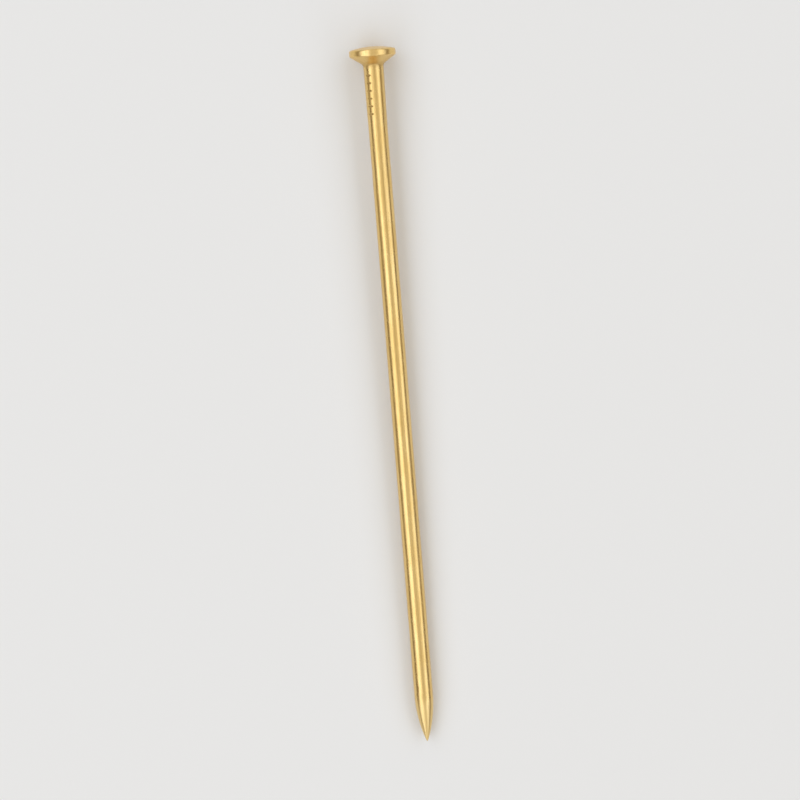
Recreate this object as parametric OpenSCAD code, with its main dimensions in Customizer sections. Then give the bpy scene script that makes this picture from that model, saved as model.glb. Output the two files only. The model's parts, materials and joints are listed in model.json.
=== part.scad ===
// Straight pin for dressmaking: one piece of brass wire, headed cold at one end and ground to a point
// at the other. It lies on a flat surface as it comes to rest, on the edge of its head and on its shank
// where the point begins. All sizes are in millimetres.

/* [Wire] */
// Overall length, from the top of the head to the very point
pin_l = 26; // [18:0.5:50]
// Diameter of the drawn wire
wire_d = 0.7; // [0.45:0.05:0.85]

/* [Head] */
// Diameter of the head
head_d = 1.7; // [1.3:0.05:2.4]
// Height that the crown of the head rises above its edge
crown_h = 0.12; // [0.06:0.01:0.3]
// Height of the rim, from the crown's edge down to the cone
rim_h = 0.22; // [0.15:0.01:0.5]
// Radius of the rounding between the crown and the rim
crown_edge_r = 0.08; // [0.03:0.01:0.12]
// Radius of the rounding between the rim and the cone
cone_edge_r = 0.06; // [0.02:0.01:0.08]
// Height of the cone under the head, from the rim down to the wire
cone_h = 0.32; // [0.05:0.01:0.5]
// Radius of the fillet where the cone runs into the wire
root_r = 0.16; // [0.04:0.01:0.2]

/* [Gripped length] */
// Length of wire under the head that the dies hold while the head is struck
grip_l = 2.4; // [2:0.1:5]
// How much thicker the wire is driven at the head end of the gripped length
grip_swell = 0.04; // [0.01:0.01:0.08]
// Number of grip marks that each die leaves
mark_count = 6; // [1:1:8]
// Distance from one grip mark to the next
mark_pitch = 0.28; // [0.15:0.01:0.3]
// Distance from the fillet to the first grip mark
mark_start = 0.3; // [0.1:0.05:0.5]
// Depth of a grip mark
mark_depth = 0.018; // [0.005:0.001:0.03]
// Radius across the bottom of a grip mark
mark_r = 0.05; // [0.03:0.01:0.07]
// Turn of the grip marks about the wire from straight up, as the pin lies
mark_turn = 35; // [0:5:90]

/* [Point] */
// Length of the ground point
point_l = 1.8; // [1.2:0.1:5]
// Radius of the very tip
tip_r = 0.03; // [0.01:0.01:0.08]

/* [Hidden] */
brass = [0.80, 0.68, 0.38];

// Straight pieces in each rounded stretch of the outline, and sides to the round form
edge_steps = 8;
crown_steps = 10;
ogive_steps = 24;
round_sides = 96;
mark_sides = 24;

wire_r = wire_d / 2;
head_r = head_d / 2;
neck_r = wire_r + grip_swell / 2;

// The outline is drawn beside the pin's own axis, as [distance from the axis, distance below the
// crown]. The crown is part of a sphere that would meet the rim's line at a depth of crown_h.
crown_r = (head_r * head_r + crown_h * crown_h) / (2 * crown_h);
crown_edge_depth = crown_r - sqrt(pow(crown_r - crown_edge_r, 2) - pow(head_r - crown_edge_r, 2));
crown_angle = asin((head_r - crown_edge_r) / (crown_r - crown_edge_r));

// The cone slopes from the rim's lower corner to the neck, and both its ends are rounded
rim_end = crown_h + rim_h;
cone_end = rim_end + cone_h;
cone_slope = atan(cone_h / (head_r - neck_r));
cone_edge_depth = rim_end - cone_edge_r * tan((90 - cone_slope) / 2);
root_end = cone_end + root_r * tan((90 - cone_slope) / 2);
grip_end = root_end + grip_l;

// The point is an ogive: an arc that leaves the wire in line with it and ends on the round tip
point_start = pin_l - point_l;
tip_reach = point_l - tip_r;
ogive_r = (tip_reach * tip_reach + wire_r * wire_r - tip_r * tip_r) / (2 * (wire_r - tip_r));
ogive_angle = atan2(tip_reach, ogive_r - wire_r);

// Points of an arc about a centre. The angle runs from straight out of the axis towards the point.
// An arc that goes on from the one before it leaves out its first point.
function arc(centre, radius, from, to, steps, first = 0) = [
    for (i = [first:steps])
        let (angle = from + (to - from) * i / steps)
            centre + radius * [cos(angle), sin(angle)]
];

// Radius of the wire at a depth past the root fillet, where the gripped length thins to the wire
function grip_radius(depth) = max(wire_r, neck_r - (neck_r - wire_r) * (depth - root_end) / grip_l);

// Slope of the line that touches two circles, the first of them at the head, on the same side.
// Both are seen from the first: the second is ahead of it by run, in towards the axis by drop,
// and larger by growth.
function touching_slope(run, drop, growth) = acos(growth / norm([run, drop])) - atan2(run, drop);

// The pin comes to rest on the lower edge of its rim and on its ogive, or on its tip if that is lower
rest_on_ogive = touching_slope(
    point_start - cone_edge_depth,
    (head_r - cone_edge_r) - (wire_r - ogive_r),
    ogive_r - cone_edge_r
);
rest_on_tip = touching_slope(
    pin_l - tip_r - cone_edge_depth,
    head_r - cone_edge_r,
    tip_r - cone_edge_r
);
rest_slope = rest_on_ogive < ogive_angle ? rest_on_ogive : rest_on_tip;
crown_height = cone_edge_r + (head_r - cone_edge_r) * cos(rest_slope) + cone_edge_depth * sin(rest_slope);
head_reach = crown_r * (1 - cos(rest_slope));
point_reach = tip_r + (pin_l - tip_r) * cos(rest_slope);

// Half outline of the pin: crown, rim, cone, root fillet, gripped length, straight wire, ogive and tip
module outline() {
    crown = arc([0, crown_r], crown_r, -90, crown_angle - 90, crown_steps);
    crown_edge = arc(
        [head_r - crown_edge_r, crown_edge_depth], crown_edge_r, crown_angle - 90, 0, edge_steps, first = 1
    );
    cone_edge = arc([head_r - cone_edge_r, cone_edge_depth], cone_edge_r, 0, 90 - cone_slope, edge_steps);
    root = arc([neck_r + root_r, root_end], root_r, 270 - cone_slope, 180, edge_steps);
    ogive = arc([wire_r - ogive_r, point_start], ogive_r, 0, ogive_angle, ogive_steps);
    tip = arc([0, pin_l - tip_r], tip_r, ogive_angle, 90, edge_steps, first = 1);
    polygon(concat(crown, crown_edge, cone_edge, root, [[wire_r, grip_end]], ogive, tip));
}

// The headed and pointed wire, standing on its crown with its point along +Z
module headed_wire() {
    rotate_extrude($fn = round_sides) outline();
}

// The rows of shallow nicks that the two halves of the die press into the wire
module grip_marks() {
    for (side = [0, 180], i = [0:mark_count - 1]) {
        depth = root_end + mark_start + i * mark_pitch;
        rotate([0, 0, side])
            translate([grip_radius(depth) - mark_depth + mark_r, 0, depth])
                rotate([90, 0, 0])
                    cylinder(h = 2 * neck_r, r = mark_r, center = true, $fn = mark_sides);
    }
}

// The whole pin, laid down with its point towards +X and its middle over the origin
module pin() {
    color(brass)
        translate([(head_reach - point_reach) / 2, 0, crown_height])
            rotate([0, 90 + rest_slope, 0])
                difference() {
                    headed_wire();
                    rotate([0, 0, mark_turn]) grip_marks();
                }
}

pin();
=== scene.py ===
"""A straight pin of drawn brass wire, lying on a pale floor as it comes to rest.

The pin is one closed surface. Its outline is carried round its own axis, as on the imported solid, and the
marks that a real pin has are pressed into it: the nicks and parting lines that the heading dies leave
under the head, the ring of the punch on the crown, the dents of tumbling and handling, and the narrow
flats of the ground point. It lies along the axis that the record gives for the shank. Sizes are in
millimetres, and the finished mesh is in metres.
"""

import json
import logging
import math
from collections.abc import Mapping
from dataclasses import dataclass
from dataclasses import field
from enum import Enum
from typing import Any

import bpy
import numpy as np
from mathutils import Matrix
from mathutils import Vector

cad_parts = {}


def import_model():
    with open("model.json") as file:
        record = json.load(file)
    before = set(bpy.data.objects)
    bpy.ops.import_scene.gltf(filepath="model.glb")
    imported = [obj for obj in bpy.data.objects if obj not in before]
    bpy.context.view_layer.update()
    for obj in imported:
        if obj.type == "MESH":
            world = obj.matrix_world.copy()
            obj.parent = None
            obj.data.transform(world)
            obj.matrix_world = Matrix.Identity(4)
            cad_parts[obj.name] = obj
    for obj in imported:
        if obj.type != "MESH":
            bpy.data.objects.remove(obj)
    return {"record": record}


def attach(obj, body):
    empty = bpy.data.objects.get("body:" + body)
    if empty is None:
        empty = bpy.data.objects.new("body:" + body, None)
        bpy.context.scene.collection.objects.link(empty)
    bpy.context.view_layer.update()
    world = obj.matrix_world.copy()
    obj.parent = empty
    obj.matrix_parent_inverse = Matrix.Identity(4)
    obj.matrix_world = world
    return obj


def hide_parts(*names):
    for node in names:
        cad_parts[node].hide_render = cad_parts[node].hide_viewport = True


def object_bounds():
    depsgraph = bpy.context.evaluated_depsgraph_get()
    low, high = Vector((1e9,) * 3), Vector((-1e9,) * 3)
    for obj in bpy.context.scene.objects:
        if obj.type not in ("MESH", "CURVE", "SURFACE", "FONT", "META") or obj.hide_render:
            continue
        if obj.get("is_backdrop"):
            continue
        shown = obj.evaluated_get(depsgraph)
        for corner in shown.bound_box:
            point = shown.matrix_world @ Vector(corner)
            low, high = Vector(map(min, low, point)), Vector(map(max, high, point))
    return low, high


LOG = logging.getLogger("straight_pin")
MM = 0.001


# What several sections use


def bell(distance: np.ndarray, reach: float) -> np.ndarray:
    """The bell exp(-(distance / reach)^2), which is 1 in its middle and nearly 0 at twice its reach."""
    return np.exp(-((distance / reach) ** 2))


def placed(name: str, data: bpy.types.ID) -> bpy.types.Object:
    """Puts a new object into the scene.

    Args:
        name: Name of the object.
        data: Its mesh, lamp or camera.

    Returns:
        The object.
    """
    piece = bpy.data.objects.new(name, data)
    bpy.context.scene.collection.objects.link(piece)
    return piece


# Outline: the runs of rings that the pin's surface is made of


@dataclass(frozen=True)
class Outline:
    """A run of rings along the pin.

    Attributes:
        depth: How far below the top of the crown each ring lies.
        radius: The radius of each ring.
    """

    depth: np.ndarray
    radius: np.ndarray

    @classmethod
    def arc(
        cls, centre: tuple[float, float], radius: float, start: float, end: float, rings: int
    ) -> "Outline":
        """Rings along an arc of the outline.

        A ring at the angle a lies at depth = centre depth + radius * sin(a) and has the radius
        centre radius + radius * cos(a), so an angle of 0 points straight out of the axis.

        Args:
            centre: Radius and depth of the arc's centre.
            radius: Radius of the arc.
            start: Angle of the first ring, in radians.
            end: Angle of the last ring, in radians.
            rings: Number of rings.

        Returns:
            The run of rings.
        """
        angle = np.linspace(start, end, rings)
        return cls(centre[1] + radius * np.sin(angle), centre[0] + radius * np.cos(angle))

    @classmethod
    def line(cls, start: tuple[float, float], end: tuple[float, float], rings: int) -> "Outline":
        """Evenly spaced rings between two (radius, depth) places, which are both included."""
        return cls(np.linspace(start[1], end[1], rings), np.linspace(start[0], end[0], rings))

    def joined(self, other: "Outline") -> "Outline":
        """This run followed by another, whose first ring is the last one of this run."""
        return Outline(
            np.concatenate([self.depth, other.depth[1:]]),
            np.concatenate([self.radius, other.radius[1:]]),
        )

    def travel(self) -> np.ndarray:
        """How far each ring is from the first, measured along the outline."""
        steps = np.hypot(np.diff(self.depth), np.diff(self.radius))
        return np.concatenate([[0.0], np.cumsum(steps)])

    def outwards(self) -> tuple[np.ndarray, np.ndarray]:
        """Which way the surface faces at each ring.

        The outline's direction is (radius step, depth step), and a quarter turn of it,
        (depth step, -radius step), points out of the metal.

        Returns:
            The radial and the depthwise part of that unit direction.
        """
        travel = self.travel()
        along = np.gradient(self.depth, travel)
        out = np.gradient(self.radius, travel)
        length = np.hypot(along, out)
        return along / length, -out / length


class Spread(Enum):
    """How a run of rings is laid out on its field of the bake map."""

    LENGTHWISE = "the pin's length runs across the field, and the turn up it"
    ROUND = "the turn runs across the field, and the pin's length up it"
    DISC = "the rings lie inside each other, as they are seen from the head"


@dataclass(frozen=True)
class Field:
    """A rectangle of the bake map that holds one run of rings.

    Attributes:
        across: Where it starts and ends across the map, in shares of the map's side.
        up: Where it starts and ends up the map, in shares of the map's side.
        spread: How the run is laid out on it.
    """

    across: tuple[float, float]
    up: tuple[float, float]
    spread: Spread = Spread.LENGTHWISE

    def lay(self, along: np.ndarray, turn: np.ndarray) -> np.ndarray:
        """Places on the map.

        A disc has the radius along / 2 of the field's width about its middle, at the angle of the turn.
        The other fields are the two shares, stretched from the field's lower left to its upper right.

        Args:
            along: Share of the run's length, from 0 at its first ring to 1 at its last.
            turn: Share of a full turn about the pin's axis.

        Returns:
            One row of two coordinates for each place.
        """
        if self.spread is Spread.DISC:
            angle = 2 * math.pi * turn
            share = 0.5 + 0.5 * np.stack([along * np.cos(angle), along * np.sin(angle)], axis=-1)
        elif self.spread is Spread.ROUND:
            share = np.stack([turn, along], axis=-1)
        else:
            share = np.stack([along, turn], axis=-1)
        low, high = np.transpose([self.across, self.up])
        return low + share * (high - low)


# The stretches of the pin and the marks on them


@dataclass(frozen=True)
class Places:
    """Places on the pin, as whole arrays of rings by turns.

    Attributes:
        depth: How far below the top of the crown each place lies.
        radius: Its distance from the pin's axis.
        turn: Its angle about the axis, in radians.
    """

    depth: np.ndarray
    radius: np.ndarray
    turn: np.ndarray


@dataclass(frozen=True)
class Head:
    """The struck head: a low crown, a rounded rim, a cone under it and the fillet at its root.

    Attributes:
        diameter: Diameter of the head.
        crown_height: Height that the crown rises above its edge.
        rim_height: Height of the rim, from the crown's edge down to the cone.
        crown_edge: Radius of the rounding between the crown and the rim.
        cone_edge: Radius of the rounding between the rim and the cone.
        cone_height: Height of the cone, from the rim down to the wire.
        root: Radius of the fillet where the cone runs into the wire.
        offset: How far the head sits to one side of the wire's axis.
        punch_ring: Radius of the ring that the punch leaves on the crown.
        punch_step: How far the crown inside that ring stands back.
        punch_blur: Width over which the ring's step fades.
        ripple: Height of the crown's unevenness.
        ripples: Number of waves that make up the unevenness.
        ripple_length: Length of the shortest of those waves.
        ripple_growth: How much longer each next wave is.
        ripple_turn: Angle between the directions of one wave and the next, in radians.
        ripple_phase: Phase of the second wave, in radians.
        stain_middle: How far above the fillet's end its tarnish is darkest.
        stain_reach: How far that tarnish reaches along the wire to each side.
        stain_width: How far it reaches out from the wire, up the cone.
    """

    diameter: float = 1.7
    crown_height: float = 0.12
    rim_height: float = 0.22
    crown_edge: float = 0.08
    cone_edge: float = 0.06
    cone_height: float = 0.32
    root: float = 0.16
    offset: float = 0.01
    punch_ring: float = 0.6
    punch_step: float = 0.004
    punch_blur: float = 0.007
    ripple: float = 0.003
    ripples: int = 9
    ripple_length: float = 0.4
    ripple_growth: float = 0.1
    ripple_turn: float = 2.4
    ripple_phase: float = 1.7
    stain_middle: float = 0.07
    stain_reach: float = 0.09
    stain_width: float = 0.2

    @property
    def radius(self) -> float:
        """Radius of the head."""
        return self.diameter / 2

    @property
    def rim_end(self) -> float:
        """Depth of the corner between the rim and the cone."""
        return self.crown_height + self.rim_height

    def slope(self, neck: float) -> float:
        """Angle between the cone and a flat underside, for a wire of the radius neck."""
        return math.atan(self.cone_height / (self.radius - neck))

    def root_end(self, neck: float) -> float:
        """Depth where the fillet has run into a wire of the radius neck."""
        rest = math.pi / 2 - self.slope(neck)
        return self.rim_end + self.cone_height + self.root * math.tan(rest / 2)

    def crown(self) -> Outline:
        """The crown with its rounded edge.

        The crown is part of a sphere of radius (r^2 + h^2) / 2h, where r is the head's radius and h the
        crown's height. The edge is an arc that touches that sphere from inside and the rim's line.

        Returns:
            The rings from the middle of the crown to the rim.
        """
        sphere = (self.radius**2 + self.crown_height**2) / (2 * self.crown_height)
        inner = self.radius - self.crown_edge
        lean = math.asin(inner / (sphere - self.crown_edge))
        centre_depth = sphere - math.sqrt((sphere - self.crown_edge) ** 2 - inner**2)
        dome = Outline.arc((0.0, sphere), sphere, -math.pi / 2, lean - math.pi / 2, rings=61)
        edge = Outline.arc((inner, centre_depth), self.crown_edge, lean - math.pi / 2, 0.0, rings=15)
        return dome.joined(edge)

    def underside(self, neck: float) -> Outline:
        """The rim's straight part, the rounding below it, the cone and the fillet.

        Args:
            neck: Radius of the wire at the root.

        Returns:
            The rings from the rim to the start of the gripped length.
        """
        slope = self.slope(neck)
        lean = math.pi / 2 - slope
        upper = self.crown().depth[-1]
        lower = self.rim_end - self.cone_edge * math.tan(lean / 2)
        rim = Outline.line((self.radius, upper), (self.radius, lower), rings=7)
        corner = Outline.arc((self.radius - self.cone_edge, lower), self.cone_edge, 0.0, lean, rings=8)
        root_centre = (neck + self.root, self.root_end(neck))
        fillet = Outline.arc(root_centre, self.root, 1.5 * math.pi - slope, math.pi, rings=12)
        cone = Outline.line(
            (corner.radius[-1], corner.depth[-1]), (fillet.radius[0], fillet.depth[0]), rings=16
        )
        return rim.joined(corner).joined(cone).joined(fillet)

    def unevenness(self, at: Places) -> np.ndarray:
        """How far the crown's surface stands out.

        Inside the punch's ring it stands back by the step, which is a smooth ramp. Slow waves cross the
        crown, each the cosine of a place's distance along the wave's own direction. The directions turn
        evenly from wave to wave, and the phase is ripple_phase times the square of the wave's number, so
        no two are alike. Both fade to nothing over the rim.

        Args:
            at: The places.

        Returns:
            The height at each place.
        """
        on_crown = np.clip((self.rim_end - at.depth) / self.rim_height, 0, 1)
        inside = 1 / (1 + np.exp((at.radius - self.punch_ring) / self.punch_blur))
        wave = np.arange(self.ripples)[:, None, None]
        length = self.ripple_length + self.ripple_growth * wave
        along = at.radius * np.cos(at.turn - self.ripple_turn * wave)
        waves = np.cos(2 * math.pi * along / length + self.ripple_phase * wave**2).mean(axis=0)
        return on_crown * (self.ripple * waves - self.punch_step * inside)

    def stain(self, at: Places, neck: float) -> np.ndarray:
        """Where tarnish gathers at the root of the head.

        It is a bell of the distance along the wire from where the tarnish is darkest, and it ends where
        the cone is stain_width clear of the wire.

        Args:
            at: The places.
            neck: Radius of the wire at the root.

        Returns:
            The tarnish at each place, from 0 to 1.
        """
        away = at.depth - self.root_end(neck) + self.stain_middle
        return bell(away, self.stain_reach) * (at.radius < neck + self.stain_width)


@dataclass(frozen=True)
class Grip:
    """The length under the head that the dies hold: a slight swell, two rows of nicks, two parting lines.

    Attributes:
        length: Length of wire that the dies hold.
        swell: How much thicker the wire is driven at its head end.
        marks: Number of nicks that each die leaves.
        pitch: Distance from one nick to the next.
        start: Distance from the fillet to the first nick.
        mark_depth: Depth of a nick.
        mark_radius: Radius across the bottom of a nick.
        mark_turn: Turn of the nicks about the wire from straight up, in degrees.
        lip: Height of the metal that is pushed up beside a nick.
        lip_gap: Distance from the nick's edge to the top of its lip.
        lip_width: How far a lip reaches along the wire, from its top to each side.
        lip_angle: How far round the wire a lip reaches to each side, in radians.
        seam: Height of the line where the two dies part.
        seam_angle: How far round the wire that line reaches to each side, in degrees.
        seam_start: Length below the rim over which it rises.
        seam_end: Share of the gripped length over which it fades out.
    """

    length: float = 2.4
    swell: float = 0.04
    marks: int = 6
    pitch: float = 0.28
    start: float = 0.3
    mark_depth: float = 0.018
    mark_radius: float = 0.05
    mark_turn: float = 35.0
    lip: float = 0.004
    lip_gap: float = 0.008
    lip_width: float = 0.014
    lip_angle: float = 0.3
    seam: float = 0.005
    seam_angle: float = 2.4
    seam_start: float = 0.05
    seam_end: float = 0.2

    def outline(self, top: float, wire: float) -> Outline:
        """The rings of the gripped length, close enough to carry the nicks.

        Args:
            top: Depth where the fillet ends.
            wire: Radius of the wire.

        Returns:
            The rings from the fillet to the straight wire.
        """
        return Outline.line((wire + self.swell / 2, top), (wire, top + self.length), rings=241)

    def mark_depths(self, top: float) -> np.ndarray:
        """Depth of each nick's middle."""
        return top + self.start + self.pitch * np.arange(self.marks)

    def facing(self, at: Places) -> np.ndarray:
        """How squarely each place faces one of the dies: the size of the cosine of its angle from it."""
        return np.abs(np.cos(at.turn - math.radians(self.mark_turn)))

    def nicked(self, at: Places, top: float) -> np.ndarray:
        """How far the nicks lower the surface.

        Each nick is the cut of a round bar that lies across the wire. At a distance d along the wire
        from the nick's middle, the bar's lower side is at x = radius - mark_depth + mark_radius -
        sqrt(mark_radius^2 - d^2) from the axis, measured towards the die. A place at the angle a from
        the die's direction is cut back to x / cos(a) if that is less than its radius. The cosine counts
        as 0.1 or more, because a place at the side is never cut.

        Args:
            at: The places.
            top: Depth where the fillet ends.

        Returns:
            The height at each place, which is 0 or less.
        """
        height = np.zeros_like(at.radius)
        facing = np.maximum(self.facing(at), 0.1)
        bar = at.radius - self.mark_depth + self.mark_radius
        for middle in self.mark_depths(top):
            away = np.minimum(np.abs(at.depth - middle), self.mark_radius)
            bottom = bar - np.sqrt(self.mark_radius**2 - away**2)
            cut = np.minimum(height, bottom / facing - at.radius)
            height = np.where(away < self.mark_radius, cut, height)
        return height

    def lips(self, at: Places, top: float) -> np.ndarray:
        """How far the metal stands up beside the nicks.

        Along the wire, each lip is a low bell of d - crest, where d is the distance from the nick's
        middle, and the crest is lip_gap past the place where the nick meets the surface. Round the wire
        it is a bell of the angle from the die's direction.

        Args:
            at: The places.
            top: Depth where the fillet ends.

        Returns:
            The height at each place.
        """
        edge = math.sqrt(self.mark_radius**2 - (self.mark_radius - self.mark_depth) ** 2)
        crest = edge + self.lip_gap
        aside = np.arccos(self.facing(at))
        height = np.zeros_like(at.radius)
        for middle in self.mark_depths(top):
            height += bell(np.abs(at.depth - middle) - crest, self.lip_width)
        return self.lip * height * bell(aside, self.lip_angle)

    def seams(self, at: Places, top: float, start: float) -> np.ndarray:
        """How far the two parting lines stand out.

        They run down the cone and along the wire, a quarter turn away from the nicks. Each is a bell of
        the angle from the line. They rise below the rim and fade out at the end of the gripped length.

        Args:
            at: The places.
            top: Depth where the fillet ends.
            start: Depth where the rim ends.

        Returns:
            The height at each place.
        """
        aside = np.arcsin(self.facing(at))
        line = bell(aside, math.radians(self.seam_angle))
        started = np.clip((at.depth - start) / self.seam_start, 0, 1)
        held = np.clip((top + self.length - at.depth) / (self.seam_end * self.length), 0, 1)
        return self.seam * line * started * held


@dataclass(frozen=True)
class Point:
    """The ground point: an ogive that leaves the wire in line with it and ends on a small round tip.

    Attributes:
        length: Length of the point.
        tip: Radius of the very tip.
        flats: Number of narrow flats that the grinding leaves round it.
        flat_depth: How far the flats stand back, as a share of the radius.
        flat_twist: How far the flats wind round over the point, in radians of their wave.
        flat_rise: Share of the point over which they come in.
    """

    length: float = 1.8
    tip: float = 0.03
    flats: int = 7
    flat_depth: float = 0.012
    flat_twist: float = 2.0
    flat_rise: float = 0.25

    def outline(self, start: float, wire: float) -> Outline:
        """The rings of the point.

        The ogive's radius R follows from its reach L and the radii w of the wire and t of the tip:
        R = (L^2 + w^2 - t^2) / (2 (w - t)), and it turns by atan(L / (R - w)).

        Args:
            start: Depth where the straight wire ends.
            wire: Radius of the wire.

        Returns:
            The rings from the straight wire to the very tip.
        """
        reach = self.length - self.tip
        ogive = (reach**2 + wire**2 - self.tip**2) / (2 * (wire - self.tip))
        lean = math.atan2(reach, ogive - wire)
        flank = Outline.arc((wire - ogive, start), ogive, 0.0, lean, rings=71)
        end = Outline.arc((0.0, start + reach), self.tip, lean, math.pi / 2, rings=11)
        return flank.joined(end)

    def ground(self, at: Places, start: float) -> np.ndarray:
        """How far the grinding lowers the surface between the ridges.

        The height is -flat_depth * radius * cos(flats * turn / 2 + flat_twist * s)^2, where s grows from
        0 to 1 along the point. It comes in evenly over the point's first part.

        Args:
            at: The places.
            start: Depth where the straight wire ends.

        Returns:
            The height at each place, which is 0 or less.
        """
        along = np.clip((at.depth - start) / self.length, 0, 1)
        wave = np.cos(self.flats * at.turn / 2 + self.flat_twist * along) ** 2
        return -self.flat_depth * at.radius * wave * np.clip(along / self.flat_rise, 0, 1)


@dataclass(frozen=True)
class Dents:
    """Small dents from tumbling and handling.

    Attributes:
        count: Number of dents.
        shallow: Depth of the least dent.
        deep: Depth of the deepest dent.
        narrow: Radius of the smallest dent.
        wide: Radius of the widest dent.
        seed: What the places, depths and radii are drawn from.
    """

    count: int = 46
    shallow: float = 0.0015
    deep: float = 0.006
    narrow: float = 0.05
    wide: float = 0.22
    seed: int = 26

    def pressed(self, points: np.ndarray) -> np.ndarray:
        """How far the dents lower the surface.

        A dent lowers a place by its depth times a bell of the distance from the dent's middle.

        Args:
            points: Rings by turns by three coordinates in the pin's own frame.

        Returns:
            The height at each place, which is 0 or less.
        """
        draw = np.random.default_rng(self.seed)
        rings, turns = points.shape[:2]
        lengthwise = points[:, 0, 0]
        ring = np.searchsorted(lengthwise, draw.uniform(lengthwise[0], lengthwise[-1], self.count))
        middle = points[ring.clip(0, rings - 1), draw.integers(0, turns, self.count)]
        radius = draw.uniform(self.narrow, self.wide, self.count)
        depth = draw.uniform(self.shallow, self.deep, self.count)
        height = np.zeros((rings, turns))
        for at, reach, low in zip(middle, radius, depth, strict=True):
            height -= low * bell(np.linalg.norm(points - at, axis=-1), reach)
        return height


# The surface that carries the outline round the axis


@dataclass
class TurnedSurface:
    """A closed surface of rings, with one vertex at each of its two poles.

    Attributes:
        points: Rings by turns by three coordinates. On the first and the last ring all places are one.
    """

    points: np.ndarray
    rings: int = field(init=False)
    turns: int = field(init=False)
    corner_ring: np.ndarray = field(init=False)
    corner_turn: np.ndarray = field(init=False)

    def __post_init__(self) -> None:
        """Lists the corners of all faces: a fan of triangles, rows of quads and another fan.

        The corners of a quad are (ring, turn), (ring, turn + 1), (ring + 1, turn + 1) and
        (ring + 1, turn), which faces outwards, and a pole's corner lies half way between two turns.
        """
        self.rings, self.turns = self.points.shape[:2]
        turn = np.arange(self.turns)
        ring = np.arange(1, self.rings - 2)[:, None]
        start = (np.array([0, 1, 1]), np.stack([turn + 0.5, turn + 1, turn], -1))
        end = (np.array([-2, -2, -1]) + self.rings, np.stack([turn, turn + 1, turn + 0.5], -1))
        row = np.stack([turn, turn + 1, turn + 1, turn], -1)
        rows = np.broadcast_to(row, (self.rings - 3, *row.shape))
        quads = (ring[..., None] + np.array([0, 0, 1, 1]), rows)
        parts = [(np.broadcast_to(r, t.shape).ravel(), t.ravel()) for r, t in (start, quads, end)]
        self.corner_ring = np.concatenate([r for r, _ in parts])
        self.corner_turn = np.concatenate([t for _, t in parts])

    def face_sizes(self) -> np.ndarray:
        """Number of corners of each face."""
        fan = np.full(self.turns, 3)
        return np.concatenate([fan, np.full(self.turns * (self.rings - 3), 4), fan])

    def to_vertices(self, values: np.ndarray) -> np.ndarray:
        """Values on rings and turns as values on vertices, with one for each pole."""
        inner = values[1:-1].reshape((self.rings - 2) * self.turns, -1)
        return np.concatenate([values[0, :1].reshape(1, -1), inner, values[-1, :1].reshape(1, -1)])

    def mesh(self, name: str) -> bpy.types.Mesh:
        """The surface as a smooth mesh.

        Args:
            name: Name of the mesh.

        Returns:
            The new mesh.
        """
        points = self.to_vertices(self.points)
        inner = 1 + (self.corner_ring - 1) * self.turns + self.corner_turn.astype(int) % self.turns
        vertex = np.where(self.corner_ring == self.rings - 1, len(points) - 1, inner)
        vertex = np.where(self.corner_ring == 0, 0, vertex)
        sizes = self.face_sizes()
        mesh = bpy.data.meshes.new(name)
        mesh.vertices.add(len(points))
        mesh.vertices.foreach_set("co", points.astype(np.float32).ravel())
        mesh.loops.add(len(vertex))
        mesh.loops.foreach_set("vertex_index", vertex.astype(np.int32))
        mesh.polygons.add(len(sizes))
        mesh.polygons.foreach_set("loop_start", (np.cumsum(sizes) - sizes).astype(np.int32))
        mesh.update(calc_edges=True)
        mesh.polygons.foreach_set("use_smooth", np.ones(len(sizes), bool))
        if mesh.validate(verbose=False):
            raise ValueError(f"{name} had faces that Blender took out")
        return mesh

    def add_values(self, mesh: bpy.types.Mesh, name: str, values: np.ndarray) -> None:
        """Stores one number for each vertex under a name that a material can read."""
        attribute = mesh.attributes.new(name, "FLOAT", "POINT")
        attribute.data.foreach_set("value", self.to_vertices(values).astype(np.float32).ravel())

    def add_map(
        self, mesh: bpy.types.Mesh, name: str, travel: np.ndarray, fields: Mapping[int, Field]
    ) -> None:
        """Lays the surface out on a map, one field for each run of rings.

        Args:
            mesh: The mesh that this surface made.
            name: Name of the map.
            travel: How far each ring is from the first, along the outline.
            fields: The field for each run, by the number of the run's first ring.
        """
        sizes = self.face_sizes()
        face_ring = np.repeat(np.minimum.reduceat(self.corner_ring, np.cumsum(sizes) - sizes), sizes)
        places = np.zeros((len(self.corner_ring), 2))
        starts = [*fields, self.rings - 1]
        for (first, patch), last in zip(fields.items(), starts[1:], strict=True):
            here = (face_ring >= first) & (face_ring < last)
            along = (travel[self.corner_ring] - travel[first]) / (travel[last] - travel[first])
            places[here] = patch.lay(along[here], self.corner_turn[here] / self.turns)
        layer = mesh.uv_layers.new(name=name)
        layer.uv.foreach_set("vector", places.astype(np.float32).ravel())


# Shader maths


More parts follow.
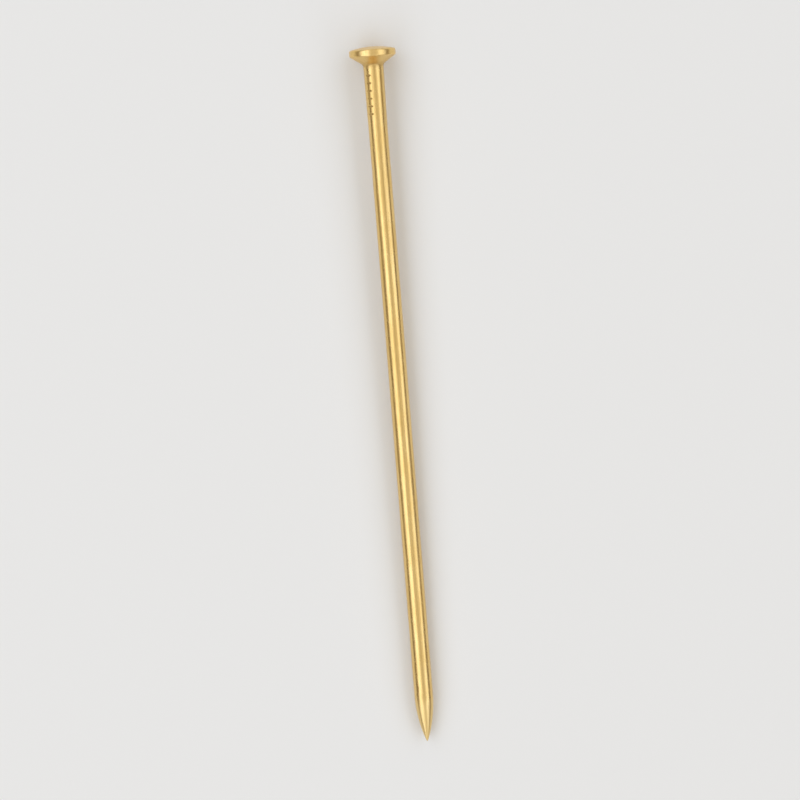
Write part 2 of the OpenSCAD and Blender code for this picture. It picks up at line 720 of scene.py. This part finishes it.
class Socket:
    """An output socket of a shader node, with Python's arithmetic for numbers and vectors."""

    def __init__(self, graph: "Graph", socket: bpy.types.NodeSocket) -> None:
        """Wraps a socket of a graph."""
        self.graph = graph
        self.socket = socket

    def __add__(self, other: Any) -> "Socket":
        """Sum."""
        return self.graph.maths("ADD", self, other)

    def __sub__(self, other: Any) -> "Socket":
        """Difference."""
        return self.graph.maths("SUBTRACT", self, other)

    def __mul__(self, other: Any) -> "Socket":
        """Product."""
        return self.graph.maths("MULTIPLY", self, other)

    def __rsub__(self, other: Any) -> "Socket":
        """Difference from a plain number."""
        return self.graph.maths("SUBTRACT", other, self)

    __radd__ = __add__

    def most(self, other: Any) -> "Socket":
        """The larger of two values."""
        return self.graph.maths("MAXIMUM", self, other)

    def rise(self, low: float, high: float) -> "Socket":
        """A smooth step, which is 0 up to low and 1 from high on."""
        return self.graph.add(
            "ShaderNodeMapRange",
            {"interpolation_type": "SMOOTHSTEP"},
            {"Value": self, "From Min": low, "From Max": high},
        )

    def stretched(self, scale: tuple[float, float, float], offset: float = 0.0) -> "Socket":
        """A vector with each part multiplied by its own number, and the same offset added to each."""
        return self.graph.add(
            "ShaderNodeVectorMath", {"operation": "MULTIPLY_ADD"}, {0: self, 1: scale, 2: (offset,) * 3}
        )

    def turned(self, degrees: tuple[float, float, float]) -> "Socket":
        """A vector turned about the three axes."""
        angles = tuple(math.radians(angle) for angle in degrees)
        return self.graph.add("ShaderNodeMapping", {}, {"Vector": self, "Rotation": angles})

    def wound(self, rate: float) -> "Socket":
        """A vector turned about X in proportion to its own X, which makes what lies along X a helix.

        Args:
            rate: Radians for each unit of X.

        Returns:
            The turned vector.
        """
        return self.graph.add(
            "ShaderNodeVectorRotate",
            {"rotation_type": "X_AXIS"},
            {"Vector": self, "Angle": self.part("X") * rate},
        )

    def outwards(self) -> "Socket":
        """A vector's distance from the X axis, three times."""
        return self.graph.add(
            "ShaderNodeVectorMath", {"operation": "LENGTH"}, {0: self.stretched((0.0, 1.0, 1.0))}, "Value"
        )

    def part(self, axis: str) -> "Socket":
        """One part of a vector: X, Y or Z."""
        return self.graph.add("ShaderNodeSeparateXYZ", {}, {"Vector": self}, axis)


class Graph:
    """The nodes of one material or world."""

    def __init__(self, tree: bpy.types.NodeTree) -> None:
        """Takes over a node tree and empties it."""
        self.tree = tree
        self.tree.nodes.clear()

    def add(
        self,
        kind: str,
        settings: Mapping[str, Any],
        inputs: Mapping[str | int, Any],
        output: str | int = 0,
    ) -> Socket | None:
        """Adds a node.

        Args:
            kind: The node's type.
            settings: What is set on the node before its sockets, such as a Math node's operation.
            inputs: The value or the link of each socket, by name or number.
            output: Name or number of the output that is wanted.

        Returns:
            That output, or nothing for a node that has none.
        """
        node = self.tree.nodes.new(kind)
        for name, value in settings.items():
            setattr(node, name, value)
        for name, value in inputs.items():
            if isinstance(value, Socket):
                self.tree.links.new(value.socket, node.inputs[name])
            else:
                node.inputs[name].default_value = value
        return Socket(self, node.outputs[output]) if node.outputs else None

    def maths(self, operation: str, first: Any, second: Any) -> Socket:
        """A Math node on two numbers."""
        return self.add("ShaderNodeMath", {"operation": operation}, {0: first, 1: second})

    def blend(self, first: Any, second: Any, share: Socket, mode: str = "MIX") -> Socket:
        """Blends two colours.

        Args:
            first: The colour where the share is 0.
            second: The colour where the share is 1, or what is added there in the mode ADD.
            share: Share of the second colour, from 0 to 1.
            mode: How the node puts them together: MIX or ADD.

        Returns:
            The blended colour.
        """
        settings = {"data_type": "RGBA", "blend_type": mode}
        return self.add("ShaderNodeMix", settings, {0: share, 6: first, 7: second}, 2)

    def noise(self, place: Socket, detail: float, roughness: float = 0.5) -> Socket:
        """Smooth noise from 0 to 1 with features about one unit wide."""
        return self.add(
            "ShaderNodeTexNoise",
            {"noise_dimensions": "3D"},
            {"Vector": place, "Scale": 1.0, "Detail": detail, "Roughness": roughness},
        )


@dataclass(frozen=True)
class Grain:
    """A pattern of smooth noise in the finish.

    Attributes:
        per_mm: How many features it has in a millimetre along X, Y and Z.
        offset: Where in the noise it is read, so that no two patterns lie alike.
        span: Noise up to which it doesn't show, and noise from which on it shows in full.
        shade: How much it darkens or roughens the metal where it shows in full.
        height: How far it stands out of the metal, in millimetres.
        wind: How far it winds round the pin, in radians for each millimetre of length.
        turn: How far it is turned about X, Y and Z, in degrees.
        detail: How many finer layers lie on it.
        roughness: Strength of each finer layer next to the one before.
    """

    per_mm: tuple[float, float, float]
    offset: float = 0.0
    span: tuple[float, float] = (0.0, 1.0)
    shade: float = 1.0
    height: float = 0.0
    wind: float = 0.0
    turn: tuple[float, float, float] = (0.0, 0.0, 0.0)
    detail: float = 2.0
    roughness: float = 0.5

    def noise(self, place: Socket) -> Socket:
        """The noise at each place.

        Args:
            place: The place, in millimetres.

        Returns:
            A value from 0 to 1.
        """
        if self.wind:
            place = place.wound(self.wind)
        if any(self.turn):
            place = place.turned(self.turn)
        return place.graph.noise(place.stretched(self.per_mm, self.offset), self.detail, self.roughness)

    def shown(self, noise: Socket) -> Socket:
        """How much the pattern shows where it has this noise."""
        return noise.rise(*self.span) * self.shade


@dataclass(frozen=True)
class Stretches:
    """Which stretch of the pin a place is on, with a value from 0 to 1 for each.

    Attributes:
        struck: The head, down to the end of its fillet.
        crown: The crown, up to the rim.
        ground: The point.
        drawn: The wire between the head and the point.
    """

    struck: Socket
    crown: Socket
    ground: Socket
    drawn: Socket


@dataclass(frozen=True)
class DrawnBrass:
    """The finish of the pin: drawn wire, tumbled bright, with a struck head and a ground point.

    Attributes:
        bright: Colour of clean brass, where it is worn.
        mellow: Colour of brass that has been in the air for a while.
        tarnish: Colour in the draw lines, the nicks and the root of the head.
        fresh: Colour of the freshly ground point.
        fresh_share: How much of that colour shows there.
        stain: How much of the tarnish is in the nicks and at the root of the head.
        gloss: Roughness of the cleanest wire.
        aged_haze: How much rougher the metal is where it has mellowed.
        dull_haze: How much rougher it is where it is tarnished.
        scratch_haze: How much rougher it is in a scratch.
        struck_haze: How much rougher it is on the head.
        scratch_depth: Depth of a scratch, in millimetres.
        fade: How far one stretch's finish reaches into the next, in millimetres.
        crown_fade: How far the crown's finish fades round its edge, as a share of the crown's height.
        ground_fade: Length of the point over which its grinding comes in, in millimetres.
        clouds: Where the brass has mellowed.
        streaks: Broad marks of the drawing, several millimetres long.
        lines: Fine draw lines.
        grinding: Lines that wind round the point.
        peel: The uneven skin of the struck head.
        rings: Turning rings that the punch leaves on the crown.
        right: Scratches that wind round the wire one way.
        left: Scratches that wind round it the other way.
        over: Scratches across the head.
    """

    bright: tuple[float, float, float] = (0.88, 0.63, 0.255)
    mellow: tuple[float, float, float] = (0.80, 0.54, 0.18)
    tarnish: tuple[float, float, float] = (0.42, 0.25, 0.07)
    fresh: tuple[float, float, float] = (0.88, 0.66, 0.29)
    fresh_share: float = 0.7
    stain: float = 0.4
    gloss: float = 0.25
    aged_haze: float = 0.06
    dull_haze: float = 0.16
    scratch_haze: float = 0.08
    struck_haze: float = 0.05
    scratch_depth: float = 0.0008
    fade: float = 0.1
    crown_fade: float = 0.2
    ground_fade: float = 0.5
    clouds: Grain = Grain((0.9, 2.2, 2.2), offset=7.7, span=(0.35, 0.7), shade=0.6, detail=3.0)
    streaks: Grain = Grain((0.22, 7.0, 7.0), offset=5.4, span=(0.45, 0.7), shade=0.4, height=0.003)
    lines: Grain = Grain(
        (0.12, 26.0, 26.0), offset=2.6, span=(0.5, 0.72), shade=0.45, height=0.0013, roughness=0.6
    )
    grinding: Grain = Grain(
        (34.0, 2.5, 2.5), shade=0.14, height=0.004, turn=(0.0, 9.0, 14.0), roughness=0.6
    )
    peel: Grain = Grain(
        (11.0, 11.0, 11.0), offset=4.3, span=(0.55, 0.8), shade=0.25, height=0.0014, detail=3.0
    )
    rings: Grain = Grain((30.0, 0.0, 0.0), offset=0.4, height=0.0009, detail=1.0)
    right: Grain = Grain((1.1, 36.0, 36.0), offset=3.2, span=(0.68, 0.74), wind=1.5, detail=1.0)
    left: Grain = Grain((0.7, 32.0, 32.0), offset=9.1, span=(0.69, 0.75), wind=-0.8, detail=1.0)
    over: Grain = Grain(
        (9.0, 1.3, 34.0), offset=6.5, span=(0.68, 0.75), turn=(32.0, 0.0, 0.0), detail=1.0
    )

    def material(self, crown: Vector, slope: float, pin: "StraightPin") -> bpy.types.Material:
        """The material, on Object coordinates that are turned into the pin's own frame.

        Args:
            crown: Place of the top of the crown, in metres.
            slope: Angle by which the pin's axis slopes down, in radians.
            pin: The pin, whose sizes tell where its stretches end.

        Returns:
            The new material.
        """
        material = bpy.data.materials.new("drawn_brass")
        material.use_nodes = True
        graph = Graph(material.node_tree)
        # The pin's own frame in millimetres: X is the depth below the crown
        own = graph.add(
            "ShaderNodeMapping",
            {"vector_type": "TEXTURE"},
            {
                "Vector": graph.add("ShaderNodeTexCoord", {}, {}, "Object"),
                "Location": crown,
                "Rotation": (0.0, slope, 0.0),
                "Scale": (MM, MM, MM),
            },
        )
        on = self.stretches(own.part("X"), pin)
        hollow = graph.add("ShaderNodeAttribute", {"attribute_name": "hollow"}, {}, "Fac")
        streaks = self.streaks.noise(own)
        lines = self.lines.noise(own)
        grinding = self.grinding.noise(own)
        peel = self.peel.noise(own)
        rings = self.rings.noise(own.outwards())
        scratch = self.scratches(own, on)

        age = self.clouds.shown(self.clouds.noise(own)) + self.streaks.shown(streaks)
        worn = on.struck * self.peel.shown(peel)
        dull = (on.drawn * self.lines.shown(lines) + hollow * self.stain).most(worn)
        colour = graph.blend((*self.bright, 1.0), (*self.mellow, 1.0), age)
        colour = graph.blend(colour, (*self.fresh, 1.0), on.ground * self.fresh_share)
        colour = graph.blend(colour, (*self.tarnish, 1.0), dull)
        roughness = (
            self.gloss
            + age * self.aged_haze
            + dull * self.dull_haze
            + scratch * self.scratch_haze
            + on.ground * (grinding * self.grinding.shade)
            + on.struck * self.struck_haze
        )
        height = (
            on.drawn * (lines * self.lines.height + streaks * self.streaks.height)
            + on.ground * (grinding * self.grinding.height)
            + on.struck * (peel * self.peel.height)
            + on.crown * (rings * self.rings.height)
            - scratch * self.scratch_depth
        )
        normal = graph.add("ShaderNodeBump", {}, {"Strength": 1.0, "Distance": MM, "Height": height})
        surface = graph.add(
            "ShaderNodeBsdfPrincipled",
            {},
            {"Base Color": colour, "Metallic": 1.0, "Roughness": roughness, "Normal": normal},
        )
        graph.add("ShaderNodeOutputMaterial", {}, {"Surface": surface})
        return material

    def stretches(self, depth: Socket, pin: "StraightPin") -> Stretches:
        """Where each stretch's finish is.

        Args:
            depth: How far below the top of the crown each place lies, in millimetres.
            pin: The pin, whose sizes tell where its stretches end.

        Returns:
            The stretches.
        """
        edge = pin.head.crown_height
        struck = 1 - depth.rise(pin.root_end - self.fade, pin.root_end + self.fade)
        crown = 1 - depth.rise((1 - self.crown_fade) * edge, (1 + self.crown_fade) * edge)
        ground = depth.rise(pin.point_start - self.fade, pin.point_start + self.ground_fade)
        return Stretches(struck, crown, ground, drawn=1 - struck.most(ground))

    def scratches(self, own: Socket, on: Stretches) -> Socket:
        """Where a scratch is: those of both ways on the wire, and others across the head.

        Args:
            own: The place in the pin's own frame.
            on: Which stretch it is on.

        Returns:
            A value from 0 to 1.
        """
        right, left, over = (
            grain.shown(grain.noise(own)) for grain in (self.right, self.left, self.over)
        )
        return on.drawn * right.most(left) + on.struck * over


# The pin


@dataclass
class StraightPin:
    """The whole pin, which is one piece of metal.

    Attributes:
        length: Overall length, from the top of the crown to the very point.
        wire: Diameter of the drawn wire.
        head: The head's sizes.
        grip: The gripped length's sizes.
        point: The point's sizes.
        dents: The dents of its use.
        turns: Number of places on each ring.
        wire_steps: Number of rings on each of the five equal parts of the straight wire.
    """

    length: float = 26.0
    wire: float = 0.7
    head: Head = field(default_factory=Head)
    grip: Grip = field(default_factory=Grip)
    point: Point = field(default_factory=Point)
    dents: Dents = field(default_factory=Dents)
    turns: int = 120
    wire_steps: int = 45

    @property
    def neck(self) -> float:
        """Radius of the wire at the root of the head."""
        return (self.wire + self.grip.swell) / 2

    @property
    def root_end(self) -> float:
        """Depth where the head's fillet ends."""
        return self.head.root_end(self.neck)

    @property
    def grip_end(self) -> float:
        """Depth where the gripped length ends."""
        return self.root_end + self.grip.length

    @property
    def point_start(self) -> float:
        """Depth where the point starts."""
        return self.length - self.point.length

    def runs(self) -> list[tuple[Outline, Field]]:
        """The outline in runs, each with its field of the bake map.

        On the map, the five equal parts of the wire take two rows and half of the third, and the point
        the rest of it. The underside of the head has the fourth row, and the crown and the gripped
        length share the last one.

        Returns:
            The runs from the crown to the tip.
        """
        radius = self.wire / 2
        cuts = np.linspace(self.grip_end, self.point_start, 6)
        wire = [
            Outline.line((radius, cuts[i]), (radius, cuts[j]), rings=self.wire_steps * (j - i) + 1)
            for i, j in ((0, 2), (2, 4), (4, 5))
        ]
        rows = ((0.005, 0.178), (0.188, 0.36), (0.37, 0.54), (0.55, 0.68), (0.69, 0.995))
        whole = (0.005, 0.995)
        return [
            (self.head.crown(), Field((0.005, 0.31), rows[4], Spread.DISC)),
            (self.head.underside(self.neck), Field(whole, rows[3], Spread.ROUND)),
            (self.grip.outline(self.root_end, radius), Field((0.32, 0.995), rows[4])),
            (wire[0], Field(whole, rows[0])),
            (wire[1], Field(whole, rows[1])),
            (wire[2], Field((0.005, 0.495), rows[2])),
            (self.point.outline(self.point_start, radius), Field((0.505, 0.995), rows[2])),
        ]

    def outline(self) -> tuple[Outline, dict[int, Field]]:
        """All runs joined.

        Returns:
            The whole outline, and the field of each run by the number of the run's first ring.
        """
        (whole, patch), *others = self.runs()
        fields = {0: patch}
        for run, patch in others:
            fields[len(whole.depth) - 1] = patch
            whole = whole.joined(run)
        return whole, fields

    def relief(self, at: Places) -> np.ndarray:
        """How far the pin's marks stand out of the turned surface, all of them added up.

        Args:
            at: The places.

        Returns:
            The height at each place, with one height all round at each pole.
        """
        height = (
            self.grip.nicked(at, self.root_end)
            + self.grip.lips(at, self.root_end)
            + self.grip.seams(at, self.root_end, self.head.rim_end)
            + self.head.unevenness(at)
            + self.point.ground(at, self.point_start)
            + self.dents.pressed(self.in_space(at))
        )
        height[[0, -1]] = height[[0, -1], :1]
        return height

    def hollow(self, at: Places) -> np.ndarray:
        """Where tarnish stays, from 0 to 1: in the nicks and at the root of the head."""
        nicks = -self.grip.nicked(at, self.root_end) / self.grip.mark_depth
        return np.clip(np.maximum(nicks, self.head.stain(at, self.neck)), 0, 1)

    def build(self, mount: Mapping[str, Any]) -> bpy.types.Object:
        """Makes the pin's surface and lays it along the mount's axis.

        The outline's rings are the rows of a grid and the turns its columns. Each place is moved by its
        height along the way that the outline faces there, which at the poles is along the axis.

        Args:
            mount: The record's mount on the straight wire.

        Returns:
            The finished object, without its material.
        """
        outline, fields = self.outline()
        turn = 2 * math.pi * np.arange(self.turns) / self.turns
        depth, turn = np.meshgrid(outline.depth, turn, indexing="ij")
        smooth = Places(depth, np.broadcast_to(outline.radius[:, None], depth.shape), turn)
        height = self.relief(smooth)
        out, along = outline.outwards()
        out[[0, -1]] = 0.0
        marked = Places(depth + height * along[:, None], smooth.radius + height * out[:, None], turn)
        surface = TurnedSurface(self.laid(self.in_space(marked), mount))
        mesh = surface.mesh("brass_pin")
        surface.add_values(mesh, "hollow", self.hollow(smooth))
        surface.add_map(mesh, "OFBake", outline.travel(), fields)
        return placed("brass_pin", mesh)

    def in_space(self, at: Places) -> np.ndarray:
        """Coordinates in the pin's own frame: (depth, radius * cos(turn), radius * sin(turn) + aside).

        The head stands to one side by its offset, which fades out over the gripped length as a smooth
        step.

        Args:
            at: The places.

        Returns:
            Rings by turns by three coordinates.
        """
        share = np.clip(1 - (at.depth - self.head.rim_end) / self.grip.length, 0, 1)
        aside = self.head.offset * share * share * (3 - 2 * share)
        down = at.radius * np.cos(at.turn)
        return np.stack([at.depth, down, at.radius * np.sin(at.turn) + aside], axis=-1)

    def laid(self, points: np.ndarray, mount: Mapping[str, Any]) -> np.ndarray:
        """Lays coordinates of the pin's own frame along the mount's axis.

        A point (x, y, z) becomes middle + (x - middle depth) * axis + y * down + z * aside, where the
        middle is that of the straight wire.

        Args:
            points: Coordinates in the pin's own frame, in millimetres.
            mount: The record's mount on the straight wire.

        Returns:
            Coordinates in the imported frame, in metres.
        """
        axis, middle = self.axis_of(mount)
        aside = np.array([0.0, 1.0, 0.0])
        down = np.cross(aside, axis)
        middle_depth = (self.grip_end + self.point_start) / 2
        own = (points - np.array([middle_depth, 0.0, 0.0])) * MM
        return middle + own @ np.stack([axis, down, aside])

    @staticmethod
    def axis_of(mount: Mapping[str, Any]) -> tuple[np.ndarray, np.ndarray]:
        """The mount's unit axis and the middle of its length."""
        axis = np.array(mount["axis"], float)
        return axis / np.linalg.norm(axis), np.array(mount["pos_m"], float)

    def dress(self, piece: bpy.types.Object, finish: DrawnBrass, mount: Mapping[str, Any]) -> None:
        """Gives the piece its material, fitted to where the pin lies.

        Args:
            piece: The finished object.
            finish: The finish.
            mount: The record's mount on the straight wire.
        """
        axis, _ = self.axis_of(mount)
        crown = self.laid(np.zeros(3), mount)
        slope = math.asin(-axis[2])
        piece.data.materials.append(finish.material(Vector(crown), slope, self))


# The studio


@dataclass(frozen=True)
class Softbox:
    """A soft lamp that faces the middle of the pin, with its long side in line with the pin.

    Attributes:
        name: Name of the lamp.
        azimuth: Where it stands, in degrees from +Y towards -X.
        elevation: How high it stands above the floor, in degrees.
        distance: How far it is from the middle of the pin, in metres.
        width: Width across the pin, in metres.
        brightness: Radiance that its face adds to that of the sky behind it, where 1 renders as white.
        length: Length along the pin, in metres.
        colour: Colour of its light, a little cooler than the sky's.
    """

    name: str
    azimuth: float
    elevation: float
    distance: float
    width: float
    brightness: float
    length: float = 0.8
    colour: tuple[float, float, float] = (0.92, 1.03, 1.25)

    def light(self, target: Vector) -> None:
        """Makes the lamp.

        Its power is 4 * brightness * width * length, which gives its face that radiance.

        Args:
            target: What it faces.
        """
        lamp = bpy.data.lights.new(self.name, "AREA")
        lamp.shape = "RECTANGLE"
        lamp.size = self.width
        lamp.size_y = self.length
        lamp.energy = 4 * self.brightness * self.width * self.length
        lamp.color = self.colour
        azimuth = math.radians(self.azimuth)
        elevation = math.radians(self.elevation)
        away = Vector(
            (
                -math.sin(azimuth) * math.cos(elevation),
                math.cos(azimuth) * math.cos(elevation),
                math.sin(elevation),
            )
        )
        across = Vector((1.0, 0.0, 0.0)).cross(away).normalized()
        along = away.cross(across)
        piece = placed(self.name, lamp)
        turned = Matrix((across, along, away)).transposed().to_4x4()
        piece.matrix_world = Matrix.Translation(target + away * self.distance) @ turned
        piece.visible_camera = False


@dataclass(frozen=True)
class Studio:
    """The floor, the light and the camera.

    Attributes:
        floor_size: Side of the floor, in metres.
        floor_colour: Its pale colour.
        sky: Colour of the world overhead.
        horizon: Colour of the world at the horizon.
        sky_rise: Sine of the height at which the horizon's colour ends and the sky's is reached.
        ends: Colour that is added to the world beyond the pin's two ends.
        ends_rise: Squared cosine of the angle to the pin at which that light starts and is full.
        backdrop: Colour of the world where the camera looks past the floor, as pale as the floor.
        softboxes: The lamps.
        lens: Focal length of the camera, in millimetres.
        elevation: Angle of the camera above the floor, on the head's side, in degrees.
        lean: Angle between the pin and the picture's upright, in degrees.
        fill: Share of the picture's height that the pin takes.
        clip: Nearest and farthest that the camera sees, next to its distance from the pin.
    """

    floor_size: float = 2.0
    floor_colour: tuple[float, float, float] = (0.82, 0.81, 0.765)
    sky: tuple[float, float, float] = (0.7, 0.665, 0.62)
    horizon: tuple[float, float, float] = (0.14, 0.09, 0.05)
    sky_rise: tuple[float, float] = (0.1, 0.8)
    ends: tuple[float, float, float] = (0.42, 0.42, 0.42)
    ends_rise: tuple[float, float] = (0.45, 1.0)
    backdrop: tuple[float, float, float] = (0.8, 0.79, 0.78)
    softboxes: tuple[Softbox, ...] = (
        Softbox("key_softbox", azimuth=180.0, elevation=50.0, distance=0.2, width=0.15, brightness=0.74),
        Softbox("fill_softbox", azimuth=0.0, elevation=42.0, distance=0.22, width=0.14, brightness=0.64),
    )
    lens: float = 120.0
    elevation: float = 84.0
    lean: float = 4.6
    fill: float = 0.88
    clip: tuple[float, float] = (0.05, 50.0)

    def build(self, target: Vector, length: float) -> None:
        """Makes the whole studio round the object.

        Args:
            target: Middle of the object.
            length: Length of the object, in metres.
        """
        self.floor()
        self.world()
        for softbox in self.softboxes:
            softbox.light(target)
        self.camera(target, length)

    def floor(self) -> None:
        """Makes the plain pale floor, at the height that the pin lies on."""
        half = self.floor_size / 2
        mesh = bpy.data.meshes.new("floor")
        corners = [(-half, -half, 0.0), (half, -half, 0.0), (half, half, 0.0), (-half, half, 0.0)]
        mesh.from_pydata(corners, [], [(0, 1, 2, 3)])
        material = bpy.data.materials.new("pale_floor")
        material.use_nodes = True
        graph = Graph(material.node_tree)
        surface = graph.add("ShaderNodeBsdfDiffuse", {}, {"Color": (*self.floor_colour, 1.0)})
        graph.add("ShaderNodeOutputMaterial", {}, {"Surface": surface})
        mesh.materials.append(material)
        placed("floor", mesh)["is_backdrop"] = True

    def world(self) -> None:
        """Lights the scene from all round, most from overhead and from beyond the pin's two ends.

        The camera itself sees a pale backdrop in its place, which lights nothing.
        """
        world = bpy.data.worlds.new("studio")
        world.use_nodes = True
        bpy.context.scene.world = world
        graph = Graph(world.node_tree)
        towards = graph.add("ShaderNodeTexCoord", {}, {}, "Generated")
        along = towards.part("X")
        overhead = towards.part("Z").rise(*self.sky_rise)
        endwise = (along * along).rise(*self.ends_rise)
        seen = graph.add("ShaderNodeLightPath", {}, {}, "Is Camera Ray")
        colour = graph.blend((*self.horizon, 1.0), (*self.sky, 1.0), overhead)
        colour = graph.blend(colour, (*self.ends, 1.0), endwise, "ADD")
        colour = graph.blend(colour, (*self.backdrop, 1.0), seen)
        light = graph.add("ShaderNodeBackground", {}, {"Color": colour, "Strength": 1.0})
        graph.add("ShaderNodeOutputWorld", {}, {"Surface": light})

    def camera(self, target: Vector, length: float) -> None:
        """Makes the camera, which looks down on the pin with the head at the top of the picture.

        Args:
            target: What it looks at.
            length: Length of the object, in metres.
        """
        lens = bpy.data.cameras.new("camera")
        lens.lens = self.lens
        distance = length / self.fill * self.lens / lens.sensor_width
        lens.clip_start, lens.clip_end = (share * distance for share in self.clip)
        elevation = math.radians(self.elevation)
        away = Vector((-math.cos(elevation), 0.0, math.sin(elevation)))
        # The camera's own right side, upright and back, rolled so that the pin leans against the upright
        right = Vector((0.0, 1.0, 0.0))
        level = Matrix((right, away.cross(right), away)).transposed()
        turned = level @ Matrix.Rotation(-math.radians(self.lean), 3, "Z")
        piece = placed("camera", lens)
        piece.matrix_world = Matrix.Translation(target + away * distance) @ turned.to_4x4()
        bpy.context.scene.camera = piece


def shank_mount(record: Mapping[str, Any]) -> Mapping[str, Any]:
    """The record's mount on the straight wire."""
    return next(mount for mount in record["mounts"] if mount["name"] == "shank")


def main() -> None:
    """Builds the pin and the studio, and reports each piece."""
    logging.basicConfig(level=logging.INFO, format="%(message)s")
    scene = bpy.context.scene
    scene.view_settings.view_transform = "Standard"
    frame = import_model()
    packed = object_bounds()
    mount = shank_mount(frame["record"])

    pin = StraightPin()
    piece = pin.build(mount)
    pin.dress(piece, DrawnBrass(), mount)
    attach(piece, "root")
    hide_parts("pin")
    faces = len(piece.data.polygons)
    LOG.info("%s: %d faces, %d vertices", piece.name, faces, len(piece.data.vertices))

    studio = Studio()
    middle = (packed[0] + packed[1]) / 2
    studio.build(middle, pin.length * MM)
    LOG.info("studio: %d lamps", len(studio.softboxes))


if __name__ == "__main__":
    main()
